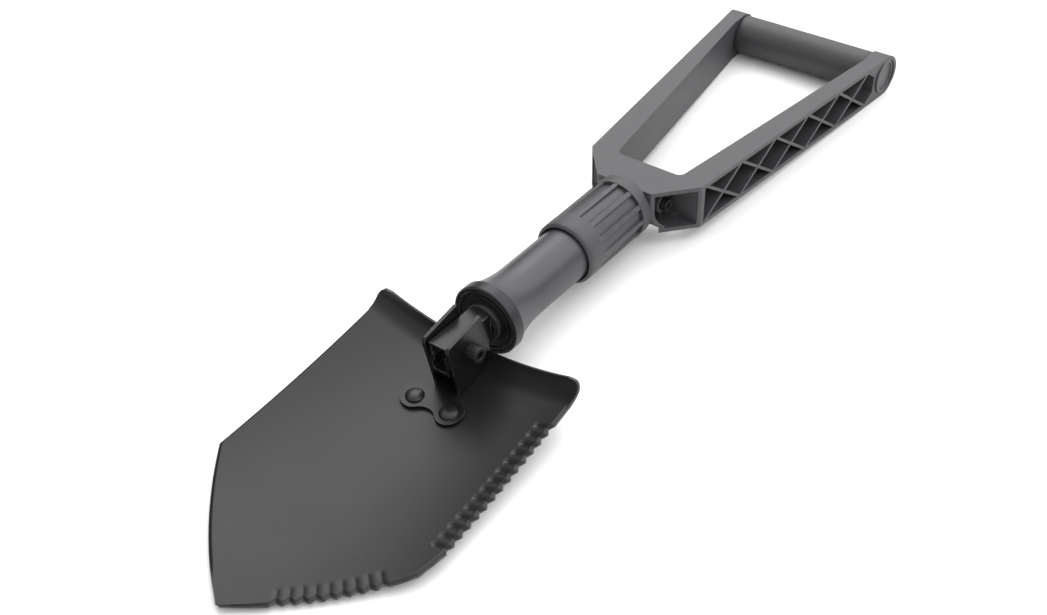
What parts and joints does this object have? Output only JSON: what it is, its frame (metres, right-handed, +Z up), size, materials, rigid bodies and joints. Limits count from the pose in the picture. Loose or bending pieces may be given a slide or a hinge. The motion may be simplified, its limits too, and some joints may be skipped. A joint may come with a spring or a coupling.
{
  "type": "folding camp shovel",
  "caption": "Three-section folding camp shovel with a dished pointed blade, one serrated side, two screw-down locking collars and a D-shaped handle.",
  "frame": {"origin": "centre of the bounding box's footprint, on the ground that the shovel lies on", "axes": "+Y from the blade's tip to the grip, +Z up from the ground, +X towards the serrated side"},
  "size_m": [0.1512, 0.614, 0.054],
  "materials": {
    "blade_coat": "satin black powder coat",
    "bracket_coat": "satin black powder coat",
    "rivet_black": "semi-gloss black",
    "fastener_black": "black oxide",
    "washer_nylon": "matte",
    "bushing_bronze": "plain",
    "block_coat": "satin black",
    "core_steel": "phosphated",
    "disc_black": "satin black",
    "sleeve_anodised": "hard anodised, satin",
    "insert_metal": "machined",
    "collar_nylon": "glass-filled nylon",
    "handle_nylon": "glass-filled nylon",
    "grip_nylon": "glass-filled nylon"
  },
  "bodies": {
    "shaft": {"shaft_core": "core_steel", "pivot_block": "block_coat", "pivot_bushing": "bushing_bronze", "pivot_friction_washers": "washer_nylon", "hinge_tongue": "core_steel"},
    "blade": {"blade": "blade_coat", "blade_bracket": "bracket_coat", "bracket_rivets": "rivet_black", "pivot_bolt": "fastener_black", "pivot_nut": "fastener_black", "pivot_nut_washer": "fastener_black"},
    "front_disc": {"thrust_disc": "disc_black"},
    "front_nut": {"front_lock_sleeve": "sleeve_anodised", "sleeve_insert": "insert_metal"},
    "rear_washer": {"collar_thrust_washer": "washer_nylon"},
    "rear_nut": {"rear_lock_collar": "collar_nylon", "collar_insert": "insert_metal"},
    "handle": {"handle_frame": "handle_nylon", "hinge_barrel": "core_steel", "hinge_screw_right": "fastener_black", "hinge_screw_left": "fastener_black", "grip_bar": "grip_nylon", "grip_cap_right": "handle_nylon", "grip_cap_left": "handle_nylon"}
  },
  "joints": [
    {"name": "blade_fold", "type": "hinge", "parent": "shaft", "child": "blade", "pos_m": [0, -0.11672, 0.03254], "axis": [-1, 0, 0], "range_deg": [0, 180]},
    {"name": "handle_fold", "type": "hinge", "parent": "shaft", "child": "handle", "pos_m": [0, 0.06512, 0.02489], "axis": [-1, 0, 0], "range_deg": [0, 165]},
    {"name": "front_nut_travel", "type": "slide", "parent": "shaft", "child": "front_disc", "axis": [0, 0.9991, -0.0421], "range_m": [0, 0.006]},
    {"name": "front_nut_turn", "type": "hinge", "parent": "front_disc", "child": "front_nut", "pos_m": [0, -0.07226, 0.03067], "axis": [0, 0.9991, -0.0421], "range_deg": [0, 540]},
    {"name": "rear_nut_travel", "type": "slide", "parent": "shaft", "child": "rear_washer", "axis": [0, 0.9991, -0.0421], "range_m": [-0.009, 0]},
    {"name": "rear_nut_turn", "type": "hinge", "parent": "rear_washer", "child": "rear_nut", "pos_m": [0, 0.01766, 0.02688], "axis": [0, 0.9991, -0.0421], "range_deg": [-810, 0]}
  ],
  "couplings": [
    {"joint": "front_nut_turn", "follows": "front_nut_travel", "rad_per_m": 1570.8},
    {"joint": "rear_nut_turn", "follows": "rear_nut_travel", "rad_per_m": 1570.8}
  ]
}
